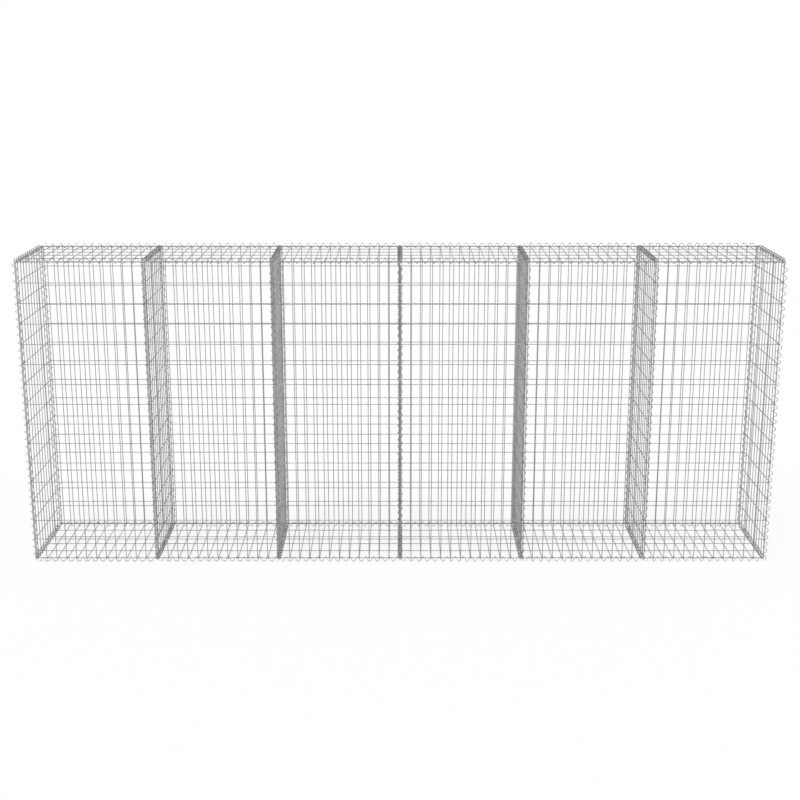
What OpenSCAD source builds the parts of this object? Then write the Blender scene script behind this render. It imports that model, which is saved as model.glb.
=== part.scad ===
// Gabion wall cage: six empty baskets of welded wire mesh in a row, laced together at
// every edge by spiral binders. X runs along the wall, the front faces -Y, and Z is up.
// The origin is at the middle of the footprint, on the level that the lowest coils rest on.

/* [Wall] */
// Number of baskets, called bays, along the wall
bays = 6; // [1:1:6]
// Gap between the edge wires of neighbouring bays, centre to centre
bay_gap = 11; // [11:0.5:16]
// Distance from a panel's edge wires to the corner line that its spiral follows
edge_gap = 6; // [5.5:0.25:6.5]

/* [Mesh] */
// Mesh cells across one bay
cells_along = 12; // [4:1:24]
// Mesh cells from front to back, counted between uprights
cells_deep = 10; // [4:2:20]
// Mesh cells from bottom to top
cells_high = 15; // [3:1:20]
// Width of a mesh cell, across the narrow way
cell_w = 50; // [40:10:80]
// Height of a mesh cell, along the long way
cell_h = 100; // [80:20:160]
// Width over the corners of a mesh bar, which is square and stands on its corner
bar_w = 4.8; // [4:0.1:5]
// Distance between the two layers of crossing bars
layer_gap = 3.8; // [3:0.1:4]
// How far a bar runs past the last bar that it crosses
bar_stub = 0.8; // [0.4:0.1:1]

/* [Spirals] */
// Radius of a spiral, from its axis to the middle of its wire
coil_r = 11; // [10.5:0.25:12]
// Length of one turn of a spiral
coil_pitch = 40; // [40:20:80]
// Diameter of the spiral's wire
coil_wire = 3.5; // [2.5:0.1:3.5]
// Height of the cross spirals' axes inside the corner lines
cross_rise = 4; // [4:0.1:4.4]
// Least gap between the end of one spiral and the side of another
coil_gap = 0.5; // [0.25:0.25:1]

/* [Hidden] */
bay_ids = [for (i = [1 : bays]) i];

// Panel sizes, between the middles of their edge wires
bay_w = cells_along * cell_w;
bay_d = cells_deep * cell_w;
bay_h = cells_high * cell_h;
// Bay spacing, and the box on whose edges the spirals' axes lie
bay_step = bay_w + bay_gap;
line_x = bays * bay_step / 2;
line_y = bay_d / 2 + edge_gap;
line_z = bay_h / 2 + edge_gap;
// A half turn is half a ring, tilted so that it climbs half a pitch
rise = coil_pitch / 4;
ring_r = sqrt(coil_r * coil_r + rise * rise);
ring_tilt = atan2(rise, coil_r);
// Alternate half turns differ by a hair, so that each end lies inside the next one's
coil_wire_fine = coil_wire - 0.1;
// A coil passes midway between the places where a bar could be in its way
thread_gap = coil_pitch / 8;
// How far the coil climbs while its wide side crosses half of the mesh's thickness
coil_lead = rise * layer_gap / 2 / coil_r;
// The middle of the cage's height, above the lowest coils
mid_z = line_z + coil_r + coil_wire / 2;
// The first turn of a spiral along a bay, and of a cross spiral, from the first edge wire
along_start = rise + thread_gap;
cross_start = coil_pitch / 2 + thread_gap + coil_lead;
// What the upright spirals take up at each end of a cross spiral's run
cross_end = ring_r + coil_wire + coil_gap - edge_gap;
// Half turns that fit in each run
half_turn = coil_pitch / 2;
along_halves = floor((bay_w - 2 * along_start) / half_turn);
upright_halves = floor((bay_h - 2 * thread_gap) / half_turn);
cross_halves = floor((bay_d - cross_start - cross_end) / half_turn);
round_fn = 32;

// ---- Placing ----

// Middle of a bay, numbered from the left
function bay_x(i) = (i - (bays + 1) / 2) * bay_step;

// Line between two bays: line 0 is the left end, and the last is the right end
function line_at(i) = (i - bays / 2) * bay_step;

// Moves along Z by whole and part millimetres in turn, which keeps long runs exact
module up(v) {
    translate([0, 0, floor(v)])
        translate([0, 0, v - floor(v)])
            children();
}

// The children's mirror image, from front to back or from top to bottom
module on_back() mirror([0, 1, 0]) children();
module on_top() mirror([0, 0, 1]) children();

// ---- Mesh ----

// A straight bar along Z, centred, with four sides
module bar(length) cylinder(d = bar_w, h = length, center = true, $fn = 4);

// A welded mesh, flat in XY and centred: across bars lie along X at height z_across,
// and long bars lie along Y at height z_long
module mesh(nx, ny, pitch_x, pitch_y, z_across, z_long) {
    w = nx * pitch_x;
    h = ny * pitch_y;
    union() {
        for (i = [0 : nx])
            translate([i * pitch_x - w / 2, 0, z_long])
                rotate([90, 0, 0]) bar(h + 2 * bar_stub);
        for (j = [0 : ny])
            translate([0, j * pitch_y - h / 2, z_across])
                rotate([0, 90, 0]) bar(w + 2 * bar_stub);
    }
}

// Upright mesh on the front: its uprights are outside and its rows are inside
module front_panel(i) color("silver")
    translate([bay_x(i), -line_y, mid_z])
        rotate([90, 0, 0])
            mesh(cells_along, cells_high, cell_w, cell_h, -layer_gap / 2, layer_gap / 2);

module back_panel(i) on_back() front_panel(i);

// Level mesh under a bay: its bars from front to back lie on the corner lines, with its
// lengthwise bars above them, one to every other upright of the cross panels
module level_mesh()
    mesh(cells_along, cells_deep / 2, cell_w, 2 * cell_w, layer_gap, 0);

module floor_panel(i) color("silver")
    translate([bay_x(i), 0, mid_z - line_z]) level_mesh();

module lid_panel(i) color("silver")
    translate([bay_x(i), 0, mid_z + line_z]) on_top() level_mesh();

// Upright mesh across the wall, at an end or between two bays
module cross_panel(i) color("silver")
    translate([line_at(i), 0, mid_z])
        rotate([90, 0, 90])
            mesh(cells_deep, cells_high, cell_w, cell_h, layer_gap / 2, -layer_gap / 2);

// ---- Spirals ----

// Half a turn that rises along Z from +X to -X round the +Y side
module half_ring(wire)
    translate([0, 0, rise])
        rotate([0, ring_tilt, 0])
            rotate_extrude(angle = 180, $fn = 4 * round_fn)
                translate([ring_r, 0]) circle(d = wire, $fn = round_fn);

// A spiral that rises along Z, one half turn after another
module spiral(halves) color("gray")
    union() {
        for (k = [0 : halves - 1])
            up(k * half_turn)
                rotate([0, 0, k % 2 * 180])
                    half_ring(k % 2 == 0 ? coil_wire : coil_wire_fine);
    }

// Spirals up the front edges, where the uprights of two bays and a divider meet
module front_upright_spirals()
    for (i = [0 : bays])
        translate([line_at(i), -line_y, mid_z - bay_h / 2 + thread_gap])
            spiral(upright_halves);

module back_upright_spirals() on_back() front_upright_spirals();

// Spirals along the front edges of the floor
module bottom_front_spirals()
    for (i = bay_ids)
        translate([bay_x(i) - bay_w / 2 + along_start, -line_y, mid_z - line_z])
            rotate([0, 90, 0]) spiral(along_halves);

module bottom_back_spirals() on_back() bottom_front_spirals();

module top_front_spirals() translate([0, 0, 2 * mid_z]) on_top() bottom_front_spirals();

module top_back_spirals() on_back() top_front_spirals();

// Spirals from front to back, under the ends and the dividers
module bottom_cross_spirals()
    for (i = [0 : bays])
        translate([line_at(i), cross_start - bay_d / 2, mid_z - line_z + cross_rise])
            rotate([-90, 0, 0]) spiral(cross_halves);

module top_cross_spirals() translate([0, 0, 2 * mid_z]) on_top() bottom_cross_spirals();

// ---- Nodes ----

for (i = bay_ids) {
    front_panel(i);
    back_panel(i);
    floor_panel(i);
    lid_panel(i);
    if (i < bays) cross_panel(i);
}
cross_panel(0);  // left_end_panel
cross_panel(bays);  // right_end_panel
front_upright_spirals();
back_upright_spirals();
bottom_front_spirals();
bottom_back_spirals();
top_front_spirals();
top_back_spirals();
bottom_cross_spirals();
top_cross_spirals();
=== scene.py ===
"""Looks of a gabion wall cage: six empty baskets of welded mesh, laced together by spirals.

X runs along the wall, the front faces -Y and Z is up, in metres. Every place comes from the
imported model's own boxes. Each flat mesh and each set of spirals is one piece, which stands
for the CAD node of the same place.
"""

import logging
import math
from dataclasses import dataclass
from enum import Enum

import bpy
from mathutils import Matrix, Vector


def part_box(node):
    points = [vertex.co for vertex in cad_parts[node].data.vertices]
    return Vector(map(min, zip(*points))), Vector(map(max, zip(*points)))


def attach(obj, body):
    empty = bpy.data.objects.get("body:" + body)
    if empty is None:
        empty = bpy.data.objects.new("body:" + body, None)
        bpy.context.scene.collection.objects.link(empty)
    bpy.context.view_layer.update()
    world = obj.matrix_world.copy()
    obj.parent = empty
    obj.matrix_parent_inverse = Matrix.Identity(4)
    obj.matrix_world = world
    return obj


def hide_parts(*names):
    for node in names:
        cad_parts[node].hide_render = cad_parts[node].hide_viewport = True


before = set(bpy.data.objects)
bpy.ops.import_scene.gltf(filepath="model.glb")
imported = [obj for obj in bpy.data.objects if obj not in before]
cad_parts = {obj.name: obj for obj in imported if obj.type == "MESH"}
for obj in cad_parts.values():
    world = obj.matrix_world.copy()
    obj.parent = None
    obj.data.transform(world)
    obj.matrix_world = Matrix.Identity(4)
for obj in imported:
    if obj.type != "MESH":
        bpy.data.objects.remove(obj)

LOG = logging.getLogger("gabion")
MM = 0.001
QUARTER = math.radians(90)

BAYS = 6
LINES = BAYS + 1


# ---- Choices ----


class Axis(Enum):
    """A direction of the wall, as the place of its number in a vector."""

    ALONG = 0
    DEEP = 1
    UP = 2

    def step(self, length: float) -> Vector:
        """A vector of this length along the axis."""
        return Vector([length if n == self.value else 0.0 for n in range(3)])


class Slot(Enum):
    """The record's material slots."""

    MESH = "mesh_wire"
    SPIRAL = "spiral_wire"


# ---- Working with objects ----


def deselect() -> None:
    """Clears the selection, which the next operator would otherwise act on."""
    bpy.ops.object.select_all(action="DESELECT")


def pick(*pieces: bpy.types.Object) -> None:
    """Selects these pieces alone, with the first one active."""
    deselect()
    for piece in pieces:
        piece.select_set(True)
    bpy.context.view_layer.objects.active = pieces[0]


def settle(piece: bpy.types.Object) -> None:
    """Puts a piece's place, turn and scale into its mesh."""
    pick(piece)
    bpy.ops.object.transform_apply(location=True, rotation=True, scale=True)


def face_outwards(piece: bpy.types.Object) -> None:
    """Turns all faces of a closed piece outwards."""
    pick(piece)
    bpy.ops.object.mode_set(mode="EDIT")
    bpy.ops.mesh.select_all(action="SELECT")
    bpy.ops.mesh.normals_make_consistent(inside=False)
    bpy.ops.object.mode_set(mode="OBJECT")


def repeat(piece: bpy.types.Object, count: int, step: Vector) -> None:
    """Repeats a piece in a row, as one mesh.

    Args:
        piece: the piece, which becomes the first of the row.
        count: how many there are.
        step: from one to the next, in metres.
    """
    pick(piece)
    array = piece.modifiers.new("Row", "ARRAY")
    array.count = count
    array.use_relative_offset = False
    array.use_constant_offset = True
    array.constant_offset_displace = step
    bpy.ops.object.modifier_apply(modifier=array.name)


def join(name: str, *pieces: bpy.types.Object) -> bpy.types.Object:
    """Joins pieces into one object.

    Args:
        name: the joined object's name.
        pieces: the pieces, which stop being objects of their own.

    Returns:
        The joined object.
    """
    pick(*pieces)
    bpy.ops.object.join()
    joined = bpy.context.view_layer.objects.active
    joined.name = name
    joined.data.name = name
    return joined


def copied(piece: bpy.types.Object, name: str, move: Matrix) -> bpy.types.Object:
    """Copies a piece to another place, with its own mesh.

    Args:
        piece: the piece that is modelled already.
        name: the copy's name.
        move: what takes the piece to the copy's place. It may mirror.

    Returns:
        The copy, at the origin, with its place in its mesh.
    """
    made = piece.copy()
    made.data = piece.data.copy()
    made.name = name
    made.data.name = name
    bpy.context.scene.collection.objects.link(made)
    made.matrix_world = move
    settle(made)
    if move.determinant() < 0:
        face_outwards(made)
    return made


def mirror(axis: Axis, middle: float = 0.0) -> Matrix:
    """The mirror image across the plane at `middle` on an axis."""
    across = Matrix.Scale(-1, 4, axis.step(1))
    return Matrix.Translation(axis.step(2 * middle)) @ across


def stand_for(piece: bpy.types.Object, node: str) -> None:
    """Makes a finished piece stand for a CAD node and reports it.

    Args:
        piece: the finished piece.
        node: the CAD node that it replaces.
    """
    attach(piece, "root")
    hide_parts(node)
    LOG.info("%s stands for %s, with %d faces", piece.name, node, len(piece.data.polygons))


# ---- Finishes ----


class Nodes:
    """A small helper that adds and links the nodes of a material or of the world."""

    def __init__(self, owner: bpy.types.Material | bpy.types.World) -> None:
        """Starts a node tree with only an output.

        Args:
            owner: the new material or world, whose nodes these are.
        """
        owner.use_nodes = True
        self.tree = owner.node_tree
        self.tree.nodes.clear()
        is_world = isinstance(owner, bpy.types.World)
        self.output = self.add(f"ShaderNodeOutput{'World' if is_world else 'Material'}")

    def add(self, kind: str, **values: object) -> bpy.types.Node:
        """Adds a node.

        Args:
            kind: Blender's name for the node.
            values: its properties, or its input sockets with spaces written as underscores.

        Returns:
            The new node.
        """
        node = self.tree.nodes.new(kind)
        for key, value in values.items():
            if hasattr(node, key):
                setattr(node, key, value)
            else:
                node.inputs[key.replace("_", " ")].default_value = value
        return node

    def link(self, start: bpy.types.NodeSocket, end: bpy.types.NodeSocket) -> None:
        """Joins an output socket to an input socket."""
        self.tree.links.new(start, end)

    def place(self) -> bpy.types.NodeSocket:
        """The piece's own coordinates, in metres."""
        return self.add("ShaderNodeTexCoord").outputs["Object"]

    def noise(self, scale: float, detail: float, roughness: float) -> bpy.types.NodeSocket:
        """A cloudy pattern.

        Args:
            scale: how many times it changes in a metre.
            detail: how many finer layers it has.
            roughness: how strong the finer layers are.

        Returns:
            The pattern's value, about 0.5 on average.
        """
        node = self.add("ShaderNodeTexNoise", Scale=scale, Detail=detail, Roughness=roughness)
        self.link(self.place(), node.inputs["Vector"])
        return node.outputs["Fac"]

    def crystals(self, scale: float) -> bpy.types.NodeSocket:
        """A different grey in each crystal of the zinc.

        Args:
            scale: how many crystals lie along a metre.

        Returns:
            The grey of the crystal at each point.
        """
        cells = self.add("ShaderNodeTexVoronoi", Scale=scale, Randomness=1.0)
        self.link(self.place(), cells.inputs["Vector"])
        split = self.add("ShaderNodeSeparateColor")
        self.link(cells.outputs["Color"], split.inputs["Color"])
        return split.outputs["Red"]

    def spread(
        self, value: bpy.types.NodeSocket, low: float, high: float, ends: tuple[float, float]
    ) -> bpy.types.NodeSocket:
        """Maps a pattern to another range.

        Args:
            value: the pattern.
            low: the value it takes at the first end and below.
            high: the value it takes at the second end and above.
            ends: the pattern's own two ends.

        Returns:
            The mapped value.
        """
        node = self.add("ShaderNodeMapRange", clamp=True)
        node.inputs["From Min"].default_value = ends[0]
        node.inputs["From Max"].default_value = ends[1]
        node.inputs["To Min"].default_value = low
        node.inputs["To Max"].default_value = high
        self.link(value, node.inputs["Value"])
        return node.outputs["Result"]

    def times(
        self, one: bpy.types.NodeSocket, other: bpy.types.NodeSocket
    ) -> bpy.types.NodeSocket:
        """The product of two values."""
        node = self.add("ShaderNodeMath", operation="MULTIPLY")
        self.link(one, node.inputs[0])
        self.link(other, node.inputs[1])
        return node.outputs["Value"]

    def tint(
        self, value: bpy.types.NodeSocket, tones: tuple[tuple[float, ...], tuple[float, ...]]
    ) -> bpy.types.NodeSocket:
        """A colour between two tones.

        Args:
            value: 0 for the first tone and 1 for the second.
            tones: the two colours, as red, green and blue.

        Returns:
            The mixed colour.
        """
        node = self.add("ShaderNodeMix", data_type="RGBA")
        node.inputs[6].default_value = (*tones[0], 1)
        node.inputs[7].default_value = (*tones[1], 1)
        self.link(value, node.inputs[0])
        return node.outputs[2]

    def bump(
        self, height: bpy.types.NodeSocket, depth: float, strength: float
    ) -> bpy.types.NodeSocket:
        """The normal of a slightly uneven surface.

        Args:
            height: the pattern of its hollows and crests.
            depth: from hollow to crest, in metres.
            strength: how much of it shows.

        Returns:
            The normal.
        """
        node = self.add("ShaderNodeBump", Distance=depth, Strength=strength)
        self.link(height, node.inputs["Height"])
        return node.outputs["Normal"]

    def seen(self) -> bpy.types.NodeSocket:
        """Tells what is seen, directly or in metal and glass, from what lights.

        Returns:
            A value that is 1 for camera, glossy and transmission rays, and 0 for the rest.
        """
        path = self.add("ShaderNodeLightPath")
        value = path.outputs["Is Camera Ray"]
        for kind in ("Is Glossy Ray", "Is Transmission Ray"):
            either = self.add("ShaderNodeMath", operation="MAXIMUM")
            self.link(value, either.inputs[0])
            self.link(path.outputs[kind], either.inputs[1])
            value = either.outputs["Value"]
        return value

    def surface(
        self, share: bpy.types.NodeSocket, first: bpy.types.Node, second: bpy.types.Node
    ) -> None:
        """Sends a mix of two shaders to the output.

        Args:
            share: how much of the second shader there is, from 0 to 1.
            first: the first shader's node.
            second: the second shader's node.
        """
        mix = self.add("ShaderNodeMixShader")
        self.link(share, mix.inputs[0])
        self.link(first.outputs[0], mix.inputs[1])
        self.link(second.outputs[0], mix.inputs[2])
        self.link(mix.outputs[0], self.output.inputs["Surface"])


@dataclass(frozen=True)
class Galvanised:
    """Zinc on steel wire: mottled crystals, a dull bloom in patches, and a soft sheen."""

    name: str
    dark: tuple[float, float, float]
    pale: tuple[float, float, float]
    crystals_per_m: float = 150.0
    crystal_least: float = 0.55
    patches_per_m: float = 7.0
    patch_detail: float = 4
    patch_least: float = 0.35
    grain_per_m: float = 900.0
    grain_detail: float = 3
    grain_on_gloss: tuple[float, float] = (0.8, 1.2)
    cloud_roughness: float = 0.6
    cloud_ends: tuple[float, float] = (0.3, 0.7)
    mottle_ends: tuple[float, float] = (0.2, 1.0)
    metallic: float = 0.35
    gloss: tuple[float, float] = (0.38, 0.62)
    relief: float = 0.15 * MM
    relief_shown: float = 0.35

    def material(self) -> bpy.types.Material:
        """Builds the node material.

        Returns:
            The material.
        """
        material = bpy.data.materials.new(self.name)
        nodes = Nodes(material)
        shader = nodes.add("ShaderNodeBsdfPrincipled", Metallic=self.metallic)
        nodes.link(shader.outputs["BSDF"], nodes.output.inputs["Surface"])
        crystals = nodes.crystals(self.crystals_per_m)
        crystal = nodes.spread(crystals, self.crystal_least, 1.0, (0.0, 1.0))
        clouds = nodes.noise(self.patches_per_m, self.patch_detail, self.cloud_roughness)
        patch = nodes.spread(clouds, self.patch_least, 1.0, self.cloud_ends)
        mottle = nodes.times(crystal, patch)
        nodes.link(nodes.tint(mottle, (self.dark, self.pale)), shader.inputs["Base Color"])
        grain = nodes.noise(self.grain_per_m, self.grain_detail, self.cloud_roughness)
        bloom = nodes.spread(grain, *self.grain_on_gloss, self.cloud_ends)
        sheen = nodes.spread(mottle, self.gloss[1], self.gloss[0], self.mottle_ends)
        nodes.link(nodes.times(sheen, bloom), shader.inputs["Roughness"])
        nodes.link(nodes.bump(grain, self.relief, self.relief_shown), shader.inputs["Normal"])
        return material


@dataclass(frozen=True)
class Finishes:
    """Every finish of the cage."""

    wire: Galvanised = Galvanised("mesh_zinc", (0.24, 0.241, 0.243), (0.44, 0.442, 0.445))
    weld: Galvanised = Galvanised(
        "weld_zinc", (0.16, 0.16, 0.16), (0.32, 0.32, 0.315), metallic=0.3, gloss=(0.55, 0.8)
    )
    spiral: Galvanised = Galvanised("spiral_zinc", (0.13, 0.132, 0.134), (0.27, 0.273, 0.276))


# ---- Welded mesh ----


@dataclass
class WeldedMesh:
    """A flat mesh of round wires, welded where they cross.

    It is modelled lying in XY: the long wires lie along Y and the across wires along X.
    """

    cells_wide: int
    cells_long: int
    cell_wide: float
    cell_long: float
    across_z: float
    long_z: float
    finishes: tuple[bpy.types.Material, bpy.types.Material]
    wire_r: float = 2 * MM
    overrun: float = 2.4 * MM
    wire_sides: int = 10
    chamfer: float = 0.5 * MM
    weld_r: float = 2.9 * MM
    weld_half: float = 1.3 * MM
    weld_segments: int = 8
    weld_rings: int = 4
    smooth_under: float = math.radians(40)

    @property
    def width(self) -> float:
        """Between the middles of the first and the last long wire."""
        return self.cells_wide * self.cell_wide

    @property
    def length(self) -> float:
        """Between the middles of the first and the last across wire."""
        return self.cells_long * self.cell_long

    def wire(self, length: float) -> bpy.types.Object:
        """Models one straight wire along Z, cut square, with the burr taken off its ends.

        Args:
            length: from end to end, in metres.

        Returns:
            The wire, centred on the origin.
        """
        deselect()
        bpy.ops.mesh.primitive_cylinder_add(
            vertices=self.wire_sides, radius=self.wire_r, depth=length
        )
        wire = bpy.context.object
        bpy.ops.object.mode_set(mode="EDIT")
        bpy.ops.mesh.select_all(action="DESELECT")
        bpy.ops.object.mode_set(mode="OBJECT")
        for edge in wire.data.edges:
            ends = [wire.data.vertices[n].co.z for n in edge.vertices]
            edge.select = abs(ends[0] - ends[1]) < self.wire_r
        bpy.ops.object.mode_set(mode="EDIT")
        bpy.ops.mesh.select_mode(type="EDGE")
        bpy.ops.mesh.bevel(offset=self.chamfer, segments=1, affect="EDGES")
        bpy.ops.object.mode_set(mode="OBJECT")
        bpy.ops.object.shade_smooth_by_angle(angle=self.smooth_under)
        return wire

    def row(
        self, length: float, turn: Vector, start: Vector, count: int, step: Vector
    ) -> bpy.types.Object:
        """Models a row of parallel wires.

        Args:
            length: of each wire, in metres.
            turn: the turn that lays a wire from Z along its own way.
            start: the middle of the first wire.
            count: how many wires there are.
            step: from one wire to the next.

        Returns:
            The row, as one object.
        """
        wires = self.wire(length)
        wires.rotation_euler = turn
        wires.location = start
        settle(wires)
        repeat(wires, count, step)
        wires.data.materials.append(self.finishes[0])
        return wires

    def welds(self) -> bpy.types.Object:
        """Models the squeezed metal round every crossing.

        Returns:
            All the welds, as one object.
        """
        deselect()
        bpy.ops.mesh.primitive_uv_sphere_add(
            segments=self.weld_segments,
            ring_count=self.weld_rings,
            radius=self.weld_r,
            location=(-self.width / 2, -self.length / 2, (self.across_z + self.long_z) / 2),
        )
        welds = bpy.context.object
        welds.scale.z = self.weld_half / self.weld_r
        bpy.ops.object.shade_smooth()
        settle(welds)
        repeat(welds, self.cells_wide + 1, Axis.ALONG.step(self.cell_wide))
        repeat(welds, self.cells_long + 1, Axis.DEEP.step(self.cell_long))
        welds.data.materials.append(self.finishes[1])
        return welds

    def build(self, name: str) -> bpy.types.Object:
        """Models the whole mesh.

        Args:
            name: the object's name.

        Returns:
            The mesh, lying in XY and centred on the origin.
        """
        long_wires = self.row(
            self.length + 2 * self.overrun,
            Vector((QUARTER, 0, 0)),
            Vector((-self.width / 2, 0, self.long_z)),
            self.cells_wide + 1,
            Axis.ALONG.step(self.cell_wide),
        )
        across_wires = self.row(
            self.width + 2 * self.overrun,
            Vector((0, QUARTER, 0)),
            Vector((0, -self.length / 2, self.across_z)),
            self.cells_long + 1,
            Axis.DEEP.step(self.cell_long),
        )
        return join(name, long_wires, across_wires, self.welds())


# ---- Spirals ----


@dataclass
class Spiral:
    """A spiral binder: round wire wound along Z from the origin, the right-handed way."""

    pitch: float
    turns: float
    finish: bpy.types.Material
    start_angle: float = -QUARTER
    coil_r: float = 11 * MM
    wire_r: float = 1.75 * MM
    steps_per_turn: int = 18
    wire_sides: int = 6
    smooth_under: float = math.radians(65)

    def build(self, name: str) -> bpy.types.Object:
        """Models the spiral by winding a ring of its wire's section, and closes its ends.

        Args:
            name: the object's name.

        Returns:
            The spiral.
        """
        climb = math.atan2(self.pitch, 2 * math.pi * self.coil_r)
        deselect()
        bpy.ops.mesh.primitive_circle_add(vertices=self.wire_sides, radius=self.wire_r)
        spiral = bpy.context.object
        spiral.name = name
        upright = Matrix.Rotation(QUARTER - climb, 4, "X")
        place = Matrix.Translation((self.coil_r, 0, 0))
        spiral.matrix_world = Matrix.Rotation(self.start_angle, 4, "Z") @ place @ upright
        settle(spiral)
        screw = spiral.modifiers.new("Winding", "SCREW")
        screw.axis = "Z"
        screw.angle = 2 * math.pi * self.turns
        screw.screw_offset = self.pitch * self.turns
        screw.iterations = 1
        screw.steps = round(self.steps_per_turn * self.turns)
        screw.render_steps = screw.steps
        screw.use_smooth_shade = True
        screw.use_normal_calculate = True
        bpy.ops.object.modifier_apply(modifier=screw.name)
        bpy.ops.object.mode_set(mode="EDIT")
        bpy.ops.mesh.select_all(action="SELECT")
        bpy.ops.mesh.fill_holes(sides=self.wire_sides)
        bpy.ops.mesh.select_all(action="SELECT")
        bpy.ops.mesh.normals_make_consistent(inside=False)
        bpy.ops.object.mode_set(mode="OBJECT")
        bpy.ops.object.shade_smooth_by_angle(angle=self.smooth_under)
        spiral.data.name = name
        spiral.data.materials.append(self.finish)
        return spiral


# ---- The cage ----


@dataclass(frozen=True)
class Layout:
    """Places that all the pieces share: middles of wires, in metres.

    The first bay's middle and width along X are bay_x and bay_w, and bay_step is from bay to
    bay. The first end's mesh is at line_x and the front meshes are at line_y. The lowest row
    of a front is at low_z, the floors' lower wires are at floor_z, and mid_z is half way up.
    """

    bay_x: float
    bay_step: float
    bay_w: float
    bay_h: float
    bay_d: float
    line_x: float
    line_y: float
    low_z: float
    floor_z: float
    mid_z: float
    layer_half: float = 1.9 * MM

    @classmethod
    def read(cls, bar_half: float = 2.4 * MM) -> "Layout":
        """Reads the layout from the boxes of the nodes that set the cage's lines.

        Args:
            bar_half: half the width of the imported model's bars, which its boxes reach past
                the middles of their wires.

        Returns:
            The layout.
        """
        front_low, front_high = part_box("front_panel_1")
        next_low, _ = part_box("front_panel_2")
        floor_low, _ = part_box("floor_panel_1")
        _, lid_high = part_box("lid_panel_1")
        end_low, end_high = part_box("left_end_panel")
        return cls(
            bay_x=(front_low.x + front_high.x) / 2,
            bay_step=next_low.x - front_low.x,
            bay_w=front_high.x - front_low.x - 2 * bar_half,
            bay_h=front_high.z - front_low.z - 2 * bar_half,
            bay_d=end_high.y - end_low.y - 2 * bar_half,
            line_x=(end_low.x + end_high.x) / 2,
            line_y=(front_low.y + front_high.y) / 2,
            low_z=front_low.z + bar_half,
            floor_z=floor_low.z + bar_half,
            mid_z=(floor_low.z + lid_high.z) / 2,
        )


@dataclass
class MeshPanels:
    """The flat welded meshes: fronts, backs, floors, lids, ends and dividers."""

    layout: Layout
    finishes: tuple[bpy.types.Material, bpy.types.Material]
    cells_along: int = 12
    cells_deep: int = 10
    cells_high: int = 15

    def fronts(self) -> None:
        """Builds the front meshes, with their uprights outside, and the backs as images."""
        at = self.layout
        sheet = WeldedMesh(
            self.cells_along,
            self.cells_high,
            at.bay_w / self.cells_along,
            at.bay_h / self.cells_high,
            -at.layer_half,
            at.layer_half,
            self.finishes,
        ).build("front_sheet")
        middle = Vector((at.bay_x, at.line_y, at.mid_z))
        stand = Matrix.Translation(middle) @ Matrix.Rotation(QUARTER, 4, "X")
        for n in range(BAYS):
            move = Matrix.Translation(Axis.ALONG.step(n * at.bay_step)) @ stand
            front = copied(sheet, f"front_mesh_{n + 1}", move)
            stand_for(front, f"front_panel_{n + 1}")
            back = copied(sheet, f"back_mesh_{n + 1}", mirror(Axis.DEEP) @ move)
            stand_for(back, f"back_panel_{n + 1}")
        bpy.data.objects.remove(sheet)

    def floors(self) -> None:
        """Builds the floor meshes, with their lengthwise wires inside, and the lids."""
        at = self.layout
        rows = self.cells_deep // 2
        sheet = WeldedMesh(
            self.cells_along,
            rows,
            at.bay_w / self.cells_along,
            at.bay_d / rows,
            2 * at.layer_half,
            0.0,
            self.finishes,
        ).build("floor_sheet")
        lay = Matrix.Translation((at.bay_x, 0, at.floor_z))
        for n in range(BAYS):
            move = Matrix.Translation(Axis.ALONG.step(n * at.bay_step)) @ lay
            floor = copied(sheet, f"floor_mesh_{n + 1}", move)
            stand_for(floor, f"floor_panel_{n + 1}")
            lid = copied(sheet, f"lid_mesh_{n + 1}", mirror(Axis.UP, at.mid_z) @ move)
            stand_for(lid, f"lid_panel_{n + 1}")
        bpy.data.objects.remove(sheet)

    def crossings(self) -> None:
        """Builds the two end meshes and the dividers between the bays."""
        at = self.layout
        sheet = WeldedMesh(
            self.cells_deep,
            self.cells_high,
            at.bay_d / self.cells_deep,
            at.bay_h / self.cells_high,
            at.layer_half,
            -at.layer_half,
            self.finishes,
        ).build("cross_sheet")
        turn = Matrix.Rotation(QUARTER, 4, "Z") @ Matrix.Rotation(QUARTER, 4, "X")
        names = {0: "left_end", LINES - 1: "right_end"}
        for n in range(LINES):
            name = names.get(n, f"divider_{n}")
            node = f"{names[n]}_panel" if n in names else f"divider_panel_{n}"
            middle = Vector((at.line_x + n * at.bay_step, 0, at.mid_z))
            piece = copied(sheet, f"{name}_mesh", Matrix.Translation(middle) @ turn)
            stand_for(piece, node)
        bpy.data.objects.remove(sheet)

    def build(self) -> None:
        """Builds all the meshes."""
        self.fronts()
        self.floors()
        self.crossings()


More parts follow.
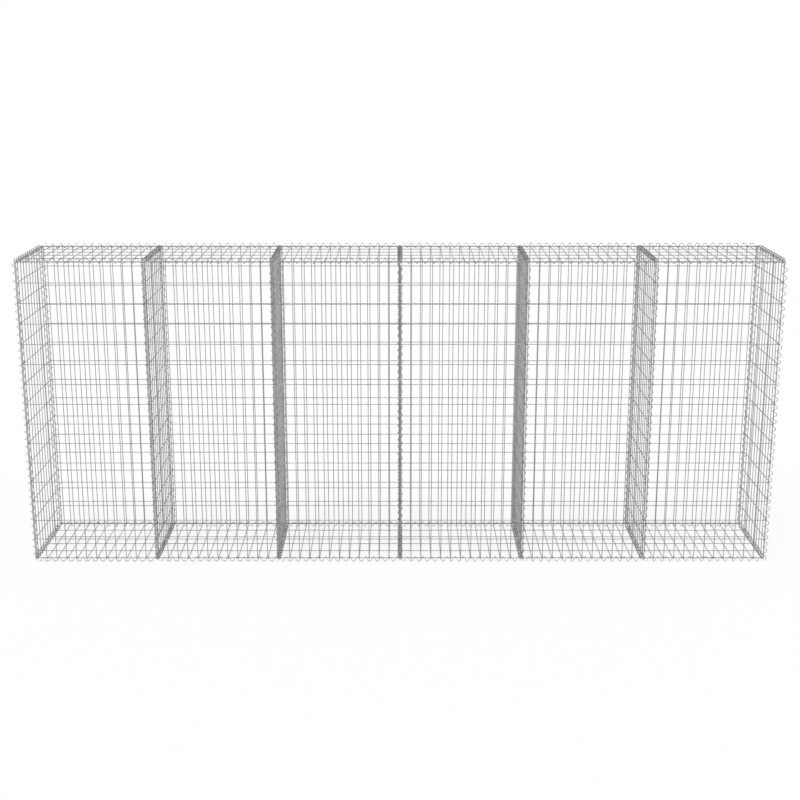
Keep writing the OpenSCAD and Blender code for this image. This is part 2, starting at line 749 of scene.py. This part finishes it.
@dataclass
class Spirals:
    """The spirals that lace the meshes together at every edge."""

    layout: Layout
    finish: bpy.types.Material
    upright_pitch: float = 37.5 * MM
    upright_turns: int = 40
    nudge: float = 2 * MM
    nudge_every: float = 300 * MM
    nudge_at: float = 32.8 * MM
    phase: float = 1.56 * MM
    level_pitch: float = 40 * MM
    along_turns: float = 14.5
    along_start: float = 14.45 * MM
    cross_turns: float = 11.75
    cross_start: float = 15.55 * MM
    cross_rise: float = 4 * MM

    def ease_past_rows(self, spiral: bpy.types.Object) -> None:
        """Shifts the turns a little up and down, as the mesh's rows hold them apart.

        Args:
            spiral: an upright spiral, wound along Z from the origin.
        """
        for vertex in spiral.data.vertices:
            swing = 2 * math.pi * (vertex.co.z - self.nudge_at) / self.nudge_every
            vertex.co.z += self.nudge * math.cos(swing)

    def uprights(self) -> None:
        """Builds the spirals up the front and back edges of every end and divider."""
        at = self.layout
        spiral = Spiral(self.upright_pitch, self.upright_turns, self.finish).build("upright")
        self.ease_past_rows(spiral)
        repeat(spiral, LINES, Axis.ALONG.step(at.bay_step))
        start = Vector((at.line_x, at.line_y, at.low_z + self.phase - self.upright_pitch / 4))
        move = Matrix.Translation(start)
        front = copied(spiral, "front_upright_coils", move)
        stand_for(front, "front_upright_spirals")
        back = copied(spiral, "back_upright_coils", mirror(Axis.DEEP) @ move)
        stand_for(back, "back_upright_spirals")
        bpy.data.objects.remove(spiral)

    def alongs(self) -> None:
        """Builds the spirals along the front and back edges of the floors and lids."""
        at = self.layout
        spiral = Spiral(self.level_pitch, self.along_turns, self.finish).build("along")
        lay = Matrix.Rotation(QUARTER, 4, "Z") @ Matrix.Rotation(QUARTER, 4, "X")
        start = Vector((at.bay_x - at.bay_w / 2 + self.along_start, at.line_y, at.floor_z))
        move = Matrix.Translation(start) @ lay
        self.sets(spiral, move, BAYS, "front_coils", "back_coils")
        bpy.data.objects.remove(spiral)

    def sets(
        self, spiral: bpy.types.Object, move: Matrix, count: int, front: str, back: str
    ) -> None:
        """Places a row of level spirals at the bottom and its images at the back and top.

        Args:
            spiral: one spiral, wound along Z from the origin.
            move: what lays it in its first place, at the bottom in front.
            count: how many there are in the row.
            front: the last part of the front rows' names.
            back: the last part of the back rows' names.
        """
        at = self.layout
        first = copied(spiral, "first", move)
        repeat(first, count, Axis.ALONG.step(at.bay_step))
        up = mirror(Axis.UP, at.mid_z)
        rear = mirror(Axis.DEEP)
        places = {
            f"bottom_{front}": Matrix.Identity(4),
            f"bottom_{back}": rear,
            f"top_{front}": up,
            f"top_{back}": up @ rear,
        }
        for name, image in places.items():
            piece = copied(first, name, image)
            stand_for(piece, name.replace("coils", "spirals"))
        bpy.data.objects.remove(first)

    def crosses(self) -> None:
        """Builds the spirals from front to back, under and over the ends and dividers."""
        at = self.layout
        spiral = Spiral(self.level_pitch, self.cross_turns, self.finish).build("cross")
        lay = Matrix.Rotation(2 * QUARTER, 4, "Z") @ Matrix.Rotation(QUARTER, 4, "X")
        start = Vector((at.line_x, self.cross_start - at.bay_d / 2, at.floor_z + self.cross_rise))
        first = copied(spiral, "first", Matrix.Translation(start) @ lay)
        repeat(first, LINES, Axis.ALONG.step(at.bay_step))
        for name, image in (
            ("bottom_cross_coils", Matrix.Identity(4)),
            ("top_cross_coils", mirror(Axis.UP, at.mid_z)),
        ):
            piece = copied(first, name, image)
            stand_for(piece, name.replace("coils", "spirals"))
        bpy.data.objects.remove(first)
        bpy.data.objects.remove(spiral)

    def build(self) -> None:
        """Builds all the spirals."""
        self.uprights()
        self.alongs()
        self.crosses()


# ---- Studio ----


@dataclass(frozen=True)
class Sun:
    """A distant soft lamp, which lights all of the floor alike.

    Its light goes the way of `towards`, and it fills `spread` degrees of the sky.
    """

    name: str
    towards: tuple[float, float, float]
    strength: float
    spread: float

    def build(self) -> None:
        """Adds the lamp to the scene."""
        data = bpy.data.lights.new(self.name, "SUN")
        data.energy = self.strength
        data.angle = math.radians(self.spread)
        lamp = bpy.data.objects.new(self.name, data)
        lamp.rotation_euler = Vector(self.towards).to_track_quat("-Z", "Y").to_euler()
        bpy.context.scene.collection.objects.link(lamp)


@dataclass(frozen=True)
class Studio:
    """The camera, the light and the white floor round the cage.

    The camera stands `distance` in front of the wall's middle and `height` up, and looks
    `tilt` degrees down. The eye sees floor_glow of the floor as plain white, and its shadows
    in the rest.
    """

    lens: float = 60.949
    distance: float = 6.6474
    height: float = 2.5341
    tilt: float = 14.834
    sight: float = 500.0
    suns: tuple[Sun, ...] = (
        Sun("key", (0.2, 0.5, -1.2), 1.8, 40),
        Sun("fill", (-0.6, 0.3, -1.0), 0.3, 60),
    )
    sky: float = 0.5
    white: tuple[float, ...] = (1, 1, 1, 1)
    floor_paint: tuple[float, ...] = (0.9, 0.9, 0.9, 1)
    floor_side: float = 400.0
    floor_glow: float = 0.8

    def camera(self) -> None:
        """Places the camera in front of the middle of the wall, looking a little down."""
        data = bpy.data.cameras.new("camera")
        data.lens = self.lens
        data.clip_end = self.sight
        camera = bpy.data.objects.new("camera", data)
        camera.location = (0, -self.distance, self.height)
        camera.rotation_euler = (math.radians(90 - self.tilt), 0, 0)
        bpy.context.scene.collection.objects.link(camera)
        bpy.context.scene.camera = camera

    def world(self) -> None:
        """Makes the surroundings white to the eye and in reflections, and soft as light."""
        world = bpy.data.worlds.new("studio")
        bpy.context.scene.world = world
        nodes = Nodes(world)
        light = nodes.add("ShaderNodeBackground", Color=self.white, Strength=self.sky)
        white = nodes.add("ShaderNodeBackground", Color=self.white)
        nodes.surface(nodes.seen(), light, white)

    def floor(self) -> None:
        """Lays a white floor that keeps a faint shadow of the cage."""
        deselect()
        bpy.ops.mesh.primitive_plane_add(size=self.floor_side)
        floor = bpy.context.object
        floor.name = "floor"
        material = bpy.data.materials.new("white_floor")
        nodes = Nodes(material)
        paint = nodes.add("ShaderNodeBsdfDiffuse", Color=self.floor_paint)
        glow = nodes.add("ShaderNodeEmission", Color=self.white, Strength=1.0)
        share = nodes.add("ShaderNodeMath", operation="MULTIPLY")
        share.inputs[1].default_value = self.floor_glow
        nodes.link(nodes.seen(), share.inputs[0])
        nodes.surface(share.outputs[0], paint, glow)
        floor.data.materials.append(material)

    def build(self) -> None:
        """Sets up the whole studio."""
        self.camera()
        for sun in self.suns:
            sun.build()
        self.world()
        self.floor()
        bpy.context.scene.view_settings.view_transform = "Standard"


# ---- Building ----


def main() -> None:
    """Builds the pieces, the finishes and the studio."""
    logging.basicConfig(level=logging.INFO, format="%(name)s: %(message)s")
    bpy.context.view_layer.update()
    finishes = Finishes()
    layout = Layout.read()
    mesh_finishes = (finishes.wire.material(), finishes.weld.material())
    MeshPanels(layout, mesh_finishes).build()
    Spirals(layout, finishes.spiral.material()).build()
    Studio().build()
    bpy.context.view_layer.update()


if __name__ == "__main__":
    main()
